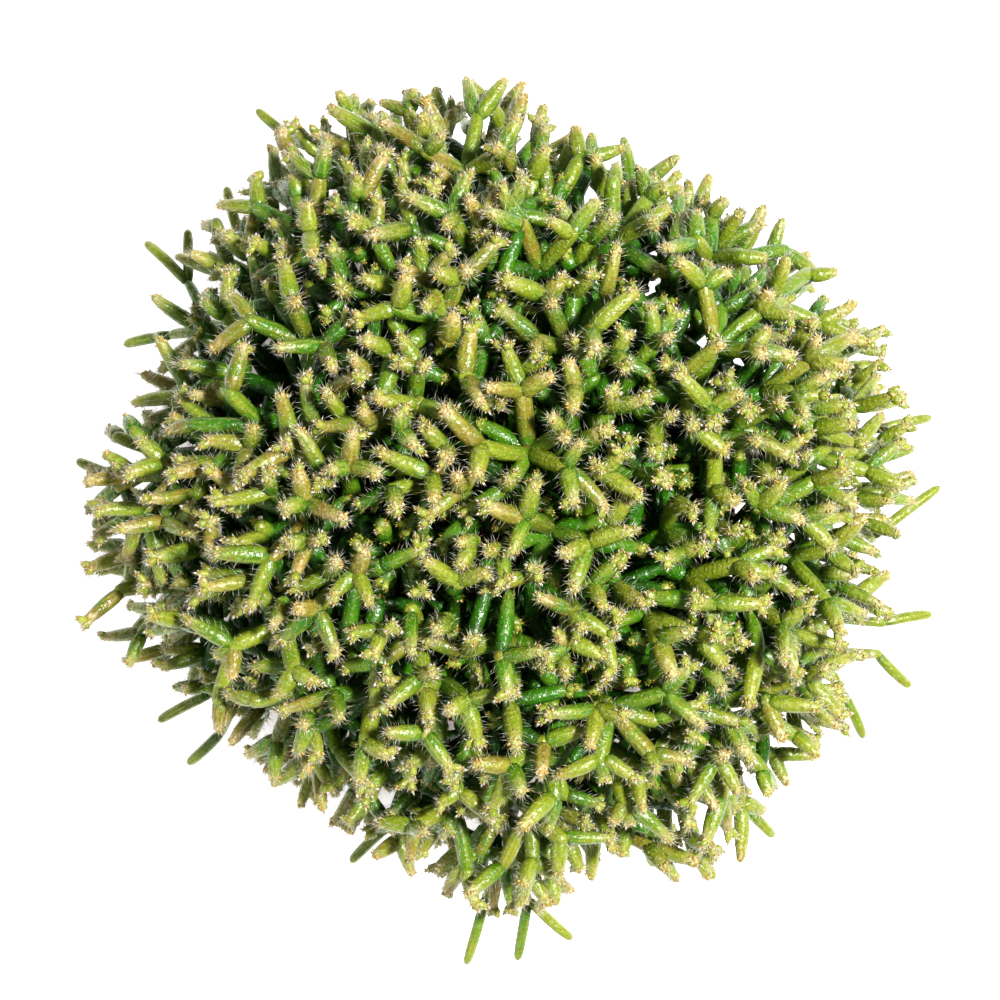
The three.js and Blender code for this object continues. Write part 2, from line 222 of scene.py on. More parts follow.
class Plant:
    """The joints, in the order in which they grow."""

    def __init__(self):
        self.state, self.count = SEED, 0
        self.start, self.run, self.end = (np.zeros((MOST_JOINTS, 3)) for _ in range(3))
        self.square, self.radius = np.ones(MOST_JOINTS), np.zeros(MOST_JOINTS)
        self.parent, self.stem, self.kind = (np.full(MOST_JOINTS, -1) for _ in range(3))

    def draw(self):
        self.state = MULTIPLIER * self.state % MODULUS
        return self.state / MODULUS

    def draw_from(self, span):
        return span[0] + (span[1] - span[0]) * self.draw()

    def socket(self, i):
        """Where the children of a joint spring from: the middle of its round tip."""
        start, end = tuple(self.start[i]), tuple(self.end[i])
        return between(end, start, float(self.radius[i]) / math.dist(start, end))

    def add(self, parent, stem, start, end, radius, kind):
        i = self.count
        self.count += 1
        self.start[i], self.end[i], self.run[i] = start, end, np.subtract(end, start)
        self.square[i] = self.run[i] @ self.run[i]
        self.radius[i], self.parent[i], self.stem[i], self.kind[i] = radius, parent, stem, kind
        return i

    def grow(self, parent, end, radius, kind):
        return self.add(parent, self.stem[parent], self.socket(parent), end, radius, kind)

    def room_at(self, parent, end):
        """The distance from a tip to the nearest joint other than its parent."""
        n = self.count
        apart = np.subtract(end, self.start[:n])
        share = np.clip((apart * self.run[:n]).sum(1) / self.square[:n], 0, 1)
        away = apart - self.run[:n] * share[:, None]
        away = (away * away).sum(1)
        away[parent] = np.inf
        return math.sqrt(away.min())

    def clears_pot(self, start, end, radius, clearance):
        space = radius + clearance
        places = (between(start, end, share) for share in (0, 0.25, 0.5, 0.75, 1))
        return all(z > POT_HEIGHT + space or math.hypot(x, y) > RIM_RADIUS + space for x, y, z in places)

    def clears_joints(self, parent, start, end, radius, clearance, sibling):
        """A joint keeps clear of all others, and leaves its parent at an angle to its siblings."""
        n = self.count
        run, others, e = np.subtract(end, start), self.run[:n], self.square[:n]
        apart = np.subtract(start, self.start[:n])
        a, b = float(run @ run), others @ run
        c, f = apart @ run, (apart * others).sum(1)
        skew = a * e - b * b
        nearest = np.where(skew > 1e-9, np.clip((b * f - c * e) / np.maximum(skew, 1e-9), 0, 1), 0)
        t = np.clip((b * nearest + f) / e, 0, 1)
        s = np.clip((b * t - c) / a, 0, 1)
        away = apart + s[:, None] * run - t[:, None] * others
        clear = (away * away).sum(1) > (radius + self.radius[:n] + clearance) ** 2
        kin = self.parent[:n] == parent
        clear[kin] = b[kin] / np.sqrt(a * e[kin]) < math.cos(sibling)
        clear[parent] = True
        return bool(clear.all())

    def grow_trunk(self, stem):
        """The cane of a rooted stem and the trunk that carries its whorls into the dome."""
        share = (stem + 0.5) / STEMS
        around, across = stem * GOLDEN_ANGLE, STEM_CIRCLE * math.sqrt(share)
        start = (across * math.cos(around), across * math.sin(around), STEM_FOOT)
        knee = (start[0], start[1], KNEE_LEVEL + KNEE_VARIES * self.draw())
        tips = [self.add(-1, stem, start, knee, CANE_RADIUS, TRUNK)]
        turned = around + self.draw_from(AIM_TURN)
        aim = dome_point(turned, LOWEST_AIM * share**TOP_CROWDING, self.draw_from(AIM_DEPTH))
        distance = math.dist(knee, aim)
        bend = between(knee, aim, 0.5)
        bend = (bend[0], bend[1], bend[2] + TRUNK_BOW * distance)
        count = max(1, math.floor(distance / TRUNK_JOINT + 0.5))
        for i in range(1, count + 1):
            t = i / count
            place = between(between(knee, bend, t), between(bend, aim, t), t)
            tips.append(self.grow(tips[-1], place, CANE_RADIUS, TRUNK))
        return tips[1:]

    def try_child(self, parent, rule, turn):
        """One try at a child joint, cut short where it would leave the dome, or None."""
        start = self.socket(parent)
        outwards = unit((start[0], start[1], start[2] - CROWN_LEVEL))
        tilt = math.radians(self.draw_from(rule["tilt"]))
        heading = leaning(unit(tuple(self.run[parent])), tilt, turn)
        level = math.hypot(outwards[0], outwards[1]) ** 4
        x, y, z = moved(heading, outwards, rule["pull"] + rule["flank"] * level)
        heading = unit((x, y, z - rule["droop"] * level))
        length = self.draw_from(rule["length"])
        radius = rule["radius"] * self.draw_from(rule["varies"])
        reach = rule["reach"] + (rule["stray"] * self.draw() if rule["stray"] else 0)
        end = moved(start, heading, length)
        while reach_of(end, rule["outline"]) > reach and length > rule["shortest"]:
            length -= 1
            end = moved(start, heading, length)
        child = (start, end, radius, rule["clearance"])
        fits = reach_of(end, rule["outline"]) <= reach and self.clears_pot(*child)
        return (end, radius) if fits and self.clears_joints(parent, *child, rule["sibling"]) else None

    def grow_whorl(self, parent, rule, kind):
        """Each joint of a whorl is the roomiest of several tries near its even place."""
        count = rule["least"] + math.floor(self.draw() * (rule["most"] - rule["least"] + 1))
        first = 2 * math.pi * self.draw()
        grown = []
        for i in range(count):
            best, most = None, rule["room"]
            for _ in range(rule["tries"]):
                turn = first + 2 * math.pi * i / count + self.draw_from(TURN_SPREAD)
                child = self.try_child(parent, rule, turn)
                room = self.room_at(parent, child[0]) if child else 0
                if room > most:
                    best, most = child, room
            if best:
                grown.append(self.grow(parent, *best, kind))
        return grown

    def grow_chain(self, parent, through, tip):
        """Joints from a parent's tip to a place and on to another, or none where one has no room."""
        before = self.count
        ended = tuple(self.end[parent])
        distance = math.dist(ended, through)
        count = 0 if distance < SAME_PLACE else math.ceil(distance / SHOOT_JOINT)
        last = parent
        for end in [between(ended, through, i / count) for i in range(1, count + 1)] + [tip]:
            child = (self.socket(last), end, SHOOT_RADIUS, WHORL["clearance"])
            if not (self.clears_pot(*child) and self.clears_joints(last, *child, SIBLING_ANGLE)):
                self.count = before
                return []
            last = self.grow(last, end, SHOOT_RADIUS, SHOOT)
        return list(range(before, self.count))

    def grow_shoot(self, x, y, tip_x, tip_y, ends):
        """A shoot springs from the nearest joint that lies further in, and dips on its way out."""
        for rise in SHOOT_LEVELS:
            place = (x, y, CROWN_LEVEL + rise)
            furthest = reach_of(place) - FURTHER_IN
            away = {i: math.dist(self.end[i], place) for i in ends}
            near = [i for i in ends if away[i] < SAME_PLACE or reach_of(self.end[i]) < furthest]
            for parent in sorted(near, key=away.get)[:SHOOT_PARENTS]:
                grown = self.grow_chain(parent, place, (tip_x, tip_y, place[2] - SHOOT_DIP))
                if grown:
                    return grown
        return []

    def grow_whorls(self, parents, rule, kind):
        return [child for parent in parents for child in self.grow_whorl(parent, rule, kind)]


@lru_cache(1)
def grown_plant():
    """The joints of the solids, then those that fill the room between them, then the buds."""
    plant = Plant()
    trunks = [plant.grow_trunk(stem) for stem in range(STEMS)]
    tops = [trunk[-1] for trunk in trunks]
    boughs = plant.grow_whorls(tops, FIRST, BOUGH)
    ends = list(boughs)
    for shoot in SHOOTS:
        ends += plant.grow_shoot(*shoot, ends)
    branches = plant.grow_whorls(boughs, SECOND, BRANCH)
    inner = plant.grow_whorls([i for trunk in trunks for i in trunk], INNER, DEEP)
    branches += plant.grow_whorls(boughs + inner, THIRD, BRANCH)
    inner += plant.grow_whorls(inner, INNER, DEEP)
    low = [i for i in branches + inner if plant.end[i][2] < UNDER_LEVEL or over_pot(plant.end[i])]
    inner += plant.grow_whorls(low, UNDER, DEEP)
    outer = [i for i in branches if reach_of(plant.end[i]) > OUTER_REACH]
    young = plant.grow_whorls(outer, NEWEST, YOUNG)
    outer += [i for i in inner if reach_of(plant.end[i]) > SHADED]
    bare = set(outer + young + ends) - set(plant.parent[: plant.count])
    plant.grow_whorls(sorted(bare), BUDS, BUD)
    return plant


# ---------------------------------------------------------------- nodes


class Value:
    """A node's output. Sums with it add Math nodes to its tree."""

    def __init__(self, nodes, socket):
        self.nodes, self.socket = nodes, socket

    def maths(self, operation, *values):
        return self.nodes.add("ShaderNodeMath", {"operation": operation}, self, *values)

    def __add__(self, other):
        return self.maths("ADD", other)

    def __sub__(self, other):
        return self.maths("SUBTRACT", other)

    def __rsub__(self, other):
        return self * -1 + other

    def __mul__(self, other):
        return self.maths("MULTIPLY", other)

    def __pow__(self, other):
        return self.maths("POWER", other)

    __radd__, __rmul__ = __add__, __mul__

    def between(self, low, high):
        """0 at low and 1 at high, with a soft change from one to the other."""
        settings = {"interpolation_type": "SMOOTHSTEP"}
        return self.nodes.add("ShaderNodeMapRange", settings, self, low, high)


class Nodes:
    """Adds nodes to one tree."""

    def __init__(self, tree):
        self.tree = tree

    def add(self, kind, settings=None, *values, out=0, **named):
        """A node of a kind, its settings, then the values or links of its sockets, in their order
        or by name with _ for a space. Gives the output out."""
        node = self.tree.nodes.new(kind)
        for key, value in (settings or {}).items():
            setattr(node, key, value)
        usable = [s for s in node.inputs if s.enabled and not s.is_unavailable]
        by_name = {s.name.replace(" ", "_"): s for s in usable}
        for socket, value in [*zip(usable, values), *((by_name[k], v) for k, v in named.items())]:
            if isinstance(value, Value):
                self.tree.links.new(value.socket, socket)
            elif value is not None:
                socket.default_value = value
        outputs = [s for s in node.outputs if s.enabled and not s.is_unavailable]
        found = [s for k, s in enumerate(outputs) if out in (k, s.name)]
        return Value(self, found[0]) if found else None

    def split(self, vector):
        """The x, y and z of a vector."""
        parts = self.add("ShaderNodeSeparateXYZ", None, vector).socket.node.outputs
        return [Value(self, socket) for socket in parts]

    def mix(self, share, first, second):
        first, second = (v if isinstance(v, Value) else (*v, 1) for v in (first, second))
        return self.add("ShaderNodeMix", {"data_type": "RGBA"}, share, first, second)

    def attribute(self, name):
        return self.add("ShaderNodeAttribute", {"attribute_name": name}, out="Fac")

    def at(self):
        return self.add("ShaderNodeTexCoord", out="Object")

    def noise(self, scale, detail, vector=None):
        return self.add("ShaderNodeTexNoise", Vector=vector or self.at(), Scale=scale, Detail=detail)


def new_material(name):
    """An empty material, its nodes, and a function that gives it its surface."""
    material = bpy.data.materials.new(name)
    material.use_nodes = True
    material.node_tree.nodes.clear()
    nodes = Nodes(material.node_tree)

    def finish(bump=None, **sockets):
        material.cycles.emission_sampling = "NONE"  # the floor's glow is too even to need it
        if bump:
            height, strength, distance = bump
            settings = {"Strength": strength, "Distance": distance, "Height": height}
            sockets["Normal"] = nodes.add("ShaderNodeBump", None, **settings)
        surface = nodes.add("ShaderNodeBsdfPrincipled", None, **sockets)
        nodes.add("ShaderNodeOutputMaterial", None, surface)
        return material

    return nodes, finish


def new_tree(name, **inputs):
    """A tree of Geometry Nodes with these kinds of inputs, its nodes, and the values put in."""
    tree = bpy.data.node_groups.new(name, "GeometryNodeTree")
    for key, kind in inputs.items():
        tree.interface.new_socket(key, in_out="INPUT", socket_type=f"NodeSocket{kind}")
    tree.interface.new_socket("Geometry", in_out="OUTPUT", socket_type="NodeSocketGeometry")
    nodes, given = Nodes(tree), tree.nodes.new("NodeGroupInput")
    return tree, nodes, [Value(nodes, socket) for socket in list(given.outputs)[: len(inputs)]]


def plain(piece):
    """Turns a piece with modifiers into a plain mesh of the same name."""
    bpy.context.view_layer.update()
    old, evaluated = piece.data, piece.evaluated_get(bpy.context.evaluated_depsgraph_get())
    made = bpy.data.meshes.new_from_object(evaluated)
    piece.modifiers.clear()
    piece.data = made
    bpy.data.meshes.remove(old)
    made.name = piece.name
    return piece


def put_through(tree, piece, **given):
    """Turns a piece into the plain mesh that a tree makes of it, with these inputs."""
    modifier = piece.modifiers.new(tree.name, "NODES")
    modifier.node_group = tree
    for key, value in given.items():
        modifier[tree.interface.items_tree[key].identifier] = value
    return plain(piece)


# ---------------------------------------------------------------- shapes that repeat

# Profiles of [share of the length, share of the radius] between the two poles, by kind of joint.
FULL_JOINT = (
    (0.02, 0.46), (0.09, 0.76), (0.22, 0.94), (0.5, 1.02), (0.78, 0.97), (0.92, 0.82), (0.975, 0.55),
)  # fmt: skip
PROFILES = {
    TRUNK: FULL_JOINT,
    BOUGH: FULL_JOINT,
    BRANCH: (
        (0.02, 0.48), (0.08, 0.78), (0.22, 0.98), (0.45, 1.05),
        (0.69, 0.94), (0.87, 0.74), (0.965, 0.46),
    ),
    YOUNG: (
        (0.02, 0.5), (0.08, 0.82), (0.2, 1.02), (0.4, 1.04),
        (0.63, 0.92), (0.84, 0.7), (0.96, 0.43),
    ),
    BUD: ((0.15, 0.85), (0.74, 0.85)),
    SHOOT: ((0.02, 0.5), (0.07, 0.82), (0.2, 0.97), (0.5, 1.0), (0.8, 0.93), (0.92, 0.8), (0.97, 0.5)),
    DEEP: ((0.06, 0.7), (0.3, 1.0), (0.75, 1.0), (0.95, 0.7)),
}  # fmt: skip
POLE_RADIUS = 0.2
SIDES = {TRUNK: 8, BOUGH: 9, BRANCH: 9, YOUNG: 9, BUD: 5, SHOOT: 8, DEEP: 6}

# A joint has this many rows of cushions that bristles stand on, each row turned by half a step.
# Its bristles are numbered from 0 to SCALES, and its scales from there to 1.
ROWS, COLUMNS, SCALES = 8, 7, 0.8
# From this level up a cushion may bear more than one bristle, and below it fewer cushions do.
NEAR_TIP, FEWER_BELOW, TUFT_LEVEL, SCALE_LEVELS = 0.6, 0.85, 0.985, (0.84, 0.97)
TUFT_INWARDS, SCALE_INWARDS, BRISTLE_SUNK, SCALE_SUNK = 0.9, 0.6, 0.96, 0.85
LEAN, MOST_LEAN, SCATTER, BRISTLE_LENGTHS, SCALE_WIDTHS = (15, 60), 1.5, 0.2, (0.4, 1.0), (0.7, 1.1)
# Bristles by kind: usual radius and length of the joint, chance of one on a cushion, most on a
# cushion near the tip, how many stand in the tuft on the tip itself, and how many scales it has.
COATS = {
    TRUNK: (1.85, 24, 0.1, 1, 0, 0),
    BOUGH: (1.8, 16, 0.34, 1, 2, 0),
    BRANCH: (1.9, 11.5, 0.75, 2, 9, 6),
    YOUNG: (1.85, 11, 0.8, 2, 11, 9),
    BUD: (1.25, 2.8, 0.15, 1, 5, 5),
    SHOOT: (1.35, 14, 0.05, 1, 2, 0),
    DEEP: (1.75, 16, 0.1, 1, 0, 0),
}


def new_object(name, points, faces):
    mesh = bpy.data.meshes.new(name)
    mesh.from_pydata([tuple(p) for p in points], [], faces)
    mesh.polygons.foreach_set("use_smooth", [True] * len(faces))
    found = bpy.data.objects.new(name, mesh)
    bpy.context.scene.collection.objects.link(found)
    return found


def write(mesh, name, values, kind="FLOAT", domain="POINT"):
    field = "vector" if kind in ("FLOAT_VECTOR", "FLOAT2") else "value"
    attribute = mesh.attributes.new(name, kind, domain)
    numbers = np.asarray(values, np.int32 if kind == "INT" else np.float32)
    attribute.data.foreach_set(field, numbers.ravel())


def turned(name, profile, sides):
    """A closed shape turned round Z from a profile of (height, radius) that starts and ends on it,
    and its skin laid out flat: round it by height, a corner of a face at a time."""
    points, faces, skin = [(0, 0, profile[0][0])], [], []
    for height, radius in profile[1:-1]:
        turns = (2 * math.pi * k / sides for k in range(sides))
        points += [(radius * math.cos(a), radius * math.sin(a), height) for a in turns]
    points.append((0, 0, profile[-1][0]))
    for ring in range(len(profile) - 1):
        low, high = profile[ring][0], profile[ring + 1][0]
        for k in range(sides):
            here, there, after = k / sides, (k + 1) / sides, (k + 1) % sides
            below, above = 1 + (ring - 1) * sides, 1 + ring * sides
            if ring == 0:
                faces.append((0, above + after, above + k))
                skin += [((here + there) / 2, low), (there, high), (here, high)]
            elif ring == len(profile) - 2:
                faces.append((below + k, below + after, len(points) - 1))
                skin += [(here, low), (there, low), ((here + there) / 2, high)]
            else:
                faces.append((below + k, below + after, above + after, above + k))
                skin += [(here, low), (there, low), (there, high), (here, high)]
    return new_object(name, points, faces), skin


def joint_shape(kind):
    """A joint of radius 1 and length 1 along +Z."""
    shape, skin = turned(f"shape_{kind}", ((0, 0), *PROFILES[kind], (1, 0)), SIDES[kind])
    write(shape.data, "along", [v.co.z for v in shape.data.vertices])
    write(shape.data, "skin", skin, "FLOAT2", "CORNER")
    return shape


def radius_at(kind, level):
    levels, radii = zip((0, POLE_RADIUS), *PROFILES[kind], (1, POLE_RADIUS))
    return float(np.interp(level, levels, radii))


def bristle_coat(kind, longest, thickness):
    """The bristles of a joint of radius 1 and length 1, three-sided spikes of full size on one of
    its kind's usual size, and short broad ones, the scales of its tip. Their skin coordinates are
    a number for each, over SCALES for a scale, and how far up."""
    chance = np.random.default_rng(100 + kind)
    radius, length, share, most, tuft, scales = COATS[kind]
    size = np.array([radius, radius, length])
    spikes = []
    for row in range(ROWS):
        level = (row + 0.5) / ROWS
        near_tip = level > NEAR_TIP
        for column in range(COLUMNS):
            if chance.random() > (share if near_tip else FEWER_BELOW * share):
                continue
            around = 2 * math.pi * (column + 0.5 * (row % 2)) / COLUMNS
            for _ in range(chance.integers(1, most + 1) if near_tip else 1):
                turn, height = around + chance.normal(0, 0.1), level + chance.normal(0, 0.012)
                spikes.append((turn, height, 0.0, False))
    for k in range(tuft + scales):
        is_scale = k >= tuft
        inwards = (SCALE_INWARDS if is_scale else TUFT_INWARDS) * chance.random()
        level = chance.uniform(*SCALE_LEVELS) if is_scale else TUFT_LEVEL
        inwards = 0.0 if is_scale and level <= 0.95 else inwards
        spikes.append((2 * math.pi * chance.random(), level, inwards, is_scale))
    points, faces, skin, along = [], [], [], []
    for around, level, inwards, is_scale in spikes:
        outer = radius * radius_at(kind, level) * (1 - inwards)
        outer *= SCALE_SUNK if is_scale else BRISTLE_SUNK
        outwards = np.array([math.cos(around), math.sin(around), 0])
        root = outwards * outer + np.array([0, 0, length * level])
        lean = math.radians(chance.uniform(*LEAN))
        lean = min(lean + max(0, level - 0.8) * 3 * (0.4 + 1.6 * inwards), MOST_LEAN)
        heading = outwards * math.cos(lean) + np.array([0, 0, math.sin(lean)])
        heading += chance.normal(0, SCATTER, 3)
        heading /= np.linalg.norm(heading)
        tall = longest * chance.uniform(*BRISTLE_LENGTHS) * (1.0 if kind in (BRANCH, YOUNG) else 0.8)
        # On a bud they are short and stand so close that they look like wool.
        thick = thickness
        if kind == BUD:
            tall, thick = tall * 0.5, thickness * 3
        if is_scale:
            tall = 0.5 + 0.5 * tall / longest
            thick = chance.uniform(*SCALE_WIDTHS) * (0.6 if kind == BUD else 1)
        side = np.cross(heading, (0.3, 0.5, 0.8))
        side /= np.linalg.norm(side)
        front = np.cross(heading, side)
        first, number = len(points), chance.random()
        number = SCALES + (1 - SCALES) * number if is_scale else SCALES * number
        for k in range(3):
            a = 2 * math.pi * k / 3
            points.append(root + thick / 2 * (side * math.cos(a) + front * math.sin(a)))
        points.append(root + heading * tall)
        along += [level] * 4
        left, right, middle = (number * 0.99 + shift for shift in (0, 0.006, 0.003))
        for a, b in ((0, 1), (1, 2), (2, 0)):
            faces.append((first + a, first + b, first + 3))
            skin += [(left, 0.02), (right, 0.02), (middle, 0.98)]
        faces.append((first + 2, first + 1, first))
        skin += [(left, 0.02), (right, 0.02), (middle, 0.06)]
    shape = new_object(f"coat_{kind}", np.array(points) / size, faces)
    write(shape.data, "along", along)
    write(shape.data, "skin", skin, "FLOAT2", "CORNER")
    return shape


# ---------------------------------------------------------------- shapes set on joints


@lru_cache(1)
def setting_tree():
    """The tree that sets a shape on every joint, bends it and lays out its skin."""
    kinds = {"Joints": "Geometry", "Shapes": "Collection", "Material": "Material", "Curvature": "Float"}
    tree, nodes, given = new_tree("Set Shapes on Joints", **kinds)
    joints, shapes, material, curvature = given

    def named(name, kind="FLOAT"):
        return nodes.add("GeometryNodeInputNamedAttribute", {"data_type": kind}, name)

    def vector(operation, *values, out=0):
        return nodes.add("ShaderNodeVectorMath", {"operation": operation}, *values, out=out)

    run = named("run", "FLOAT_VECTOR")
    length = vector("LENGTH", run, out="Value")
    upright = nodes.add("FunctionNodeAlignRotationToVector", {"axis": "Z"}, Vector=run)
    roll = nodes.add("ShaderNodeCombineXYZ", None, 0, 0, named("roll"))
    spin = nodes.add("FunctionNodeEulerToRotation", None, roll)
    turn = nodes.add("FunctionNodeRotateRotation", {"rotation_space": "LOCAL"}, upright, spin)
    radius = named("radius")
    size = nodes.add("ShaderNodeCombineXYZ", None, radius, radius, length)
    settings = {"transform_space": "ORIGINAL"}
    apart = nodes.add("GeometryNodeCollectionInfo", settings, shapes, True, True)
    placed = nodes.add(
        "GeometryNodeInstanceOnPoints", None,
        Points=joints, Instance=apart, Pick_Instance=True,
        Instance_Index=named("shape", "INT"), Rotation=turn, Scale=size,
    )  # fmt: skip
    real = nodes.add("GeometryNodeRealizeInstances", None, placed)
    along = named("along")
    bow = vector("SCALE", named("bow", "FLOAT_VECTOR"), along * (1 - along) * 4 * curvature)
    bent = nodes.add("GeometryNodeSetPosition", None, Geometry=real, Offset=bow)
    cell = named("cell", "FLOAT_VECTOR")
    size = nodes.split(cell)[2]
    spread = nodes.add("ShaderNodeCombineXYZ", None, size, size, 0)
    at = vector("MULTIPLY_ADD", named("skin", "FLOAT_VECTOR"), spread, cell)
    settings = {"data_type": "FLOAT2", "domain": "CORNER"}
    laid = nodes.add("GeometryNodeStoreNamedAttribute", settings, bent, Name="OFBake", Value=at)
    dressed = nodes.add("GeometryNodeSetMaterial", None, Geometry=laid, Material=material)
    nodes.add("NodeGroupOutput", None, dressed)
    return tree


def set_on_joints(name, joints, shapes, material, curvature, by_shade=False):
    """One piece with a shape on each of these joints. Their skins lie beside each other, or on
    each other in two places, one for joints in the light and one for those in the shade."""
    plant, joints = grown_plant(), np.asarray(joints)
    run, end, kinds = plant.run[joints], plant.end[joints], plant.kind[joints]
    length = np.linalg.norm(run, axis=1)[:, None]
    grown_on = plant.parent[: plant.count][plant.kind[: plant.count] != BUD]
    has_child = np.isin(joints, grown_on)
    # Numbers that belong to a joint, drawn from its own seed so that its bristles bend with it.
    own = np.array([np.random.default_rng(OWN_SEED + j).random(6) for j in joints])
    bow = np.cross(run / length, own[:, :3] * 2 - 1) * length
    bow[:, 2] += SAG * length[:, 0]
    reach = np.array([reach_of(place) for place in end])
    across = math.ceil(math.sqrt(len(joints)))
    cells = [(k % across / across, k // across / across, 1 / across) for k in range(len(joints))]
    # Bristles of joints below LIT lie in the second place, where their material paints them in shade.
    if by_shade:
        cells = [(0.5 if r < LIT else 0.0, 0, 0.5) for r in reach]
    # What ends in nothing is a tip, whatever its kind, and wears a tip's coat. Shade leaves few.
    worn = np.where((kinds == BRANCH) & has_child, BOUGH, kinds)
    worn = np.where((reach < SHADED) & np.isin(kinds, (BOUGH, BRANCH)), DEEP, worn)
    worn = np.where((reach > SHADED) & (kinds == DEEP), BRANCH, worn)
    # The side towards -X is the most tanned, in part the plant's own colour and in part painted shade.
    # Towards +X the tone rises: painted light, as if lit from that side.
    towards_lit_side = MM * end[:, 0]
    tan = own[:, 5] * np.clip(0.95 - 3 * towards_lit_side, 0.6, 1.2)
    numbers = {
        "radius": plant.radius[joints] * np.interp(end[:, 2], *SLIMNESS) * MM,
        "roll": own[:, 3] * 2 * math.pi,
        "tone": own[:, 4] + 1.5 * towards_lit_side,
        "warm": np.where(kinds == SHOOT, 0.0, tan),
        "age": [AGES[kind] for kind in kinds],
        "tip": np.select([has_child | (reach < SHADED), kinds == SHOOT], [0.0, 0.3], 1.0),
        "reach": reach,
    }
    piece = new_object(name, plant.start[joints] * MM, [])
    for key, values in numbers.items():
        write(piece.data, key, values)
    for key, values in {"run": run * MM, "bow": bow * MM, "cell": cells}.items():
        write(piece.data, key, values, "FLOAT_VECTOR")
    write(piece.data, "shape", worn, "INT")
    put_through(setting_tree(), piece, Shapes=shapes, Material=material, Curvature=curvature)
    for extra in ("run", "bow", "cell", "shape", "roll", "radius"):
        if extra in piece.data.attributes:
            piece.data.attributes.remove(piece.data.attributes[extra])
    return piece


# ---------------------------------------------------------------- materials

# The scales of the skin's patterns: the painted highlight streaks by turns and lengths of a joint, the
# others by metres.
HIGHLIGHT_STREAKS, BLOTCHES, FLECKS, KNOBS = 2.4, 260, 1050, 1300
CUSHION_RADIUS, CUSHION_EDGE = 0.18, 0.1


def stem_material(settings):
    """Waxy green skin with painted light and shade: dark deep in the plant, and paler and browner towards
    the light and the tips, with painted highlight streaks and pale cushions.
    """
    nodes, finish = new_material("stem_skin")
    tone, warm, age = (nodes.attribute(name) for name in ("tone", "warm", "age"))
    tip, reach, along = (nodes.attribute(name) for name in ("tip", "reach", "along"))
    upwards = nodes.split(nodes.add("ShaderNodeNewGeometry", out="Normal"))[2]
    blotches, flecks = nodes.noise(BLOTCHES, 1), nodes.noise(FLECKS, 1)
    around, up, _ = nodes.split(nodes.add("ShaderNodeUVMap", {"uv_map": "skin"}))
    turn = around * (2 * math.pi)
    place = turn.maths("COSINE"), turn.maths("SINE"), up + tone * 40
    place = nodes.add("ShaderNodeCombineXYZ", None, *place)
    highlight_streaks = nodes.noise(HIGHLIGHT_STREAKS, 0, place).between(0.48, 0.66)
    # Painted light and shade: depth darkens the joints deep in the plant, and the upper sides are painted
    # paler. depth also fades the brown flecks, the tips' tan, the flakes and the streaks deep inside.
    depth = reach.between(0.79, 1.04)
    painted_light = upwards.between(-0.5, 0.95) * 0.3 + depth * 0.7
    climb = along.between(0.0, 0.75)
    freshness_and_light = painted_light * 0.8 + (blotches - 0.5) * 0.4 + (tone - 0.5) * 0.6 + (climb - 0.5) * 0.35
    colour = nodes.mix(freshness_and_light.between(-0.05, 0.5), settings.shade_green, settings.body_green)
    colour = nodes.mix(freshness_and_light.between(0.35, 1.05), colour, settings.sun_green)
    # Sunburn is the plant's own colour, but it shows only where the painted light is strong.
    sunburn = warm.between(0.5, 0.95) * painted_light.between(0.4, 0.9) * blotches.between(0.2, 0.65)
    colour = nodes.mix(sunburn * 0.8, colour, settings.sun_brown)
    near_end = (along + (blotches - 0.5) * 0.4).between(0.55, 1.0)
    newness = near_end * tip * depth * (0.3 + warm * 0.7)
    knob = nodes.add("ShaderNodeTexVoronoi", {"feature": "F1"}, Scale=KNOBS, Vector=nodes.at())
    tip_colour = nodes.mix((tone + blotches).between(0.8, 1.25), settings.tip_tan, settings.tip_orange)
    tip_colour = nodes.mix(knob.between(0.15, 0.5), settings.cushion_cream, tip_colour)
    colour = nodes.mix(newness * 0.95, colour, tip_colour)
    colour = nodes.mix((0.48 - flecks).between(0.0, 0.14) * depth * 0.4, colour, settings.sun_brown)
    flakes = flecks.between(0.54, 0.7) * (0.1 + newness * 0.5) * depth
    colour = nodes.mix(flakes, colour, settings.cushion_cream)
    # Pale streaks along the joints: a painted highlight in the buds' yellow, faded away deep in the
    # plant.
    colour = nodes.mix(highlight_streaks * 0.3 * depth, colour, settings.bud_yellow)
    bud = (0.14 - age).between(0.0, 0.1)
    bud_colour = nodes.mix(tone, settings.bud_yellow, settings.sun_green)
    colour = nodes.mix(bud * (1 - newness) * 0.8, colour, bud_colour)
    # Painted shade: the neck of each joint, where it springs from its parent, is mixed towards the shade
    # green.
    neck_shade = (0.2 - along).between(0.0, 0.2)
    colour = nodes.mix(neck_shade * 0.6, colour, settings.shade_green)

    def from_row(shift):
        """How far from the nearest cushion of every other row, in steps of a row. Cushions lie
        where the bristles stand."""
        x = (around * COLUMNS + shift).maths("FRACT") - 0.5
        y = ((up * ROWS - 0.5) * 0.5 + shift).maths("FRACT") * 2 - 1
        return (x * x + y * y) ** 0.5

    near = from_row(0.5).maths("MINIMUM", from_row(0.0))
    cushion = (CUSHION_RADIUS - near).between(0.0, CUSHION_EDGE)
    colour = nodes.mix(cushion * 0.26 * (1.15 - age), colour, settings.cushion_cream)
    return finish(
        bump=(cushion * 0.8 + flecks, 0.6, 0.0005),
        Base_Color=colour,
        Roughness=0.25 + flecks * 0.2 + newness * 0.35 + cushion * 0.15,
        Specular_IOR_Level=0.65,
    )


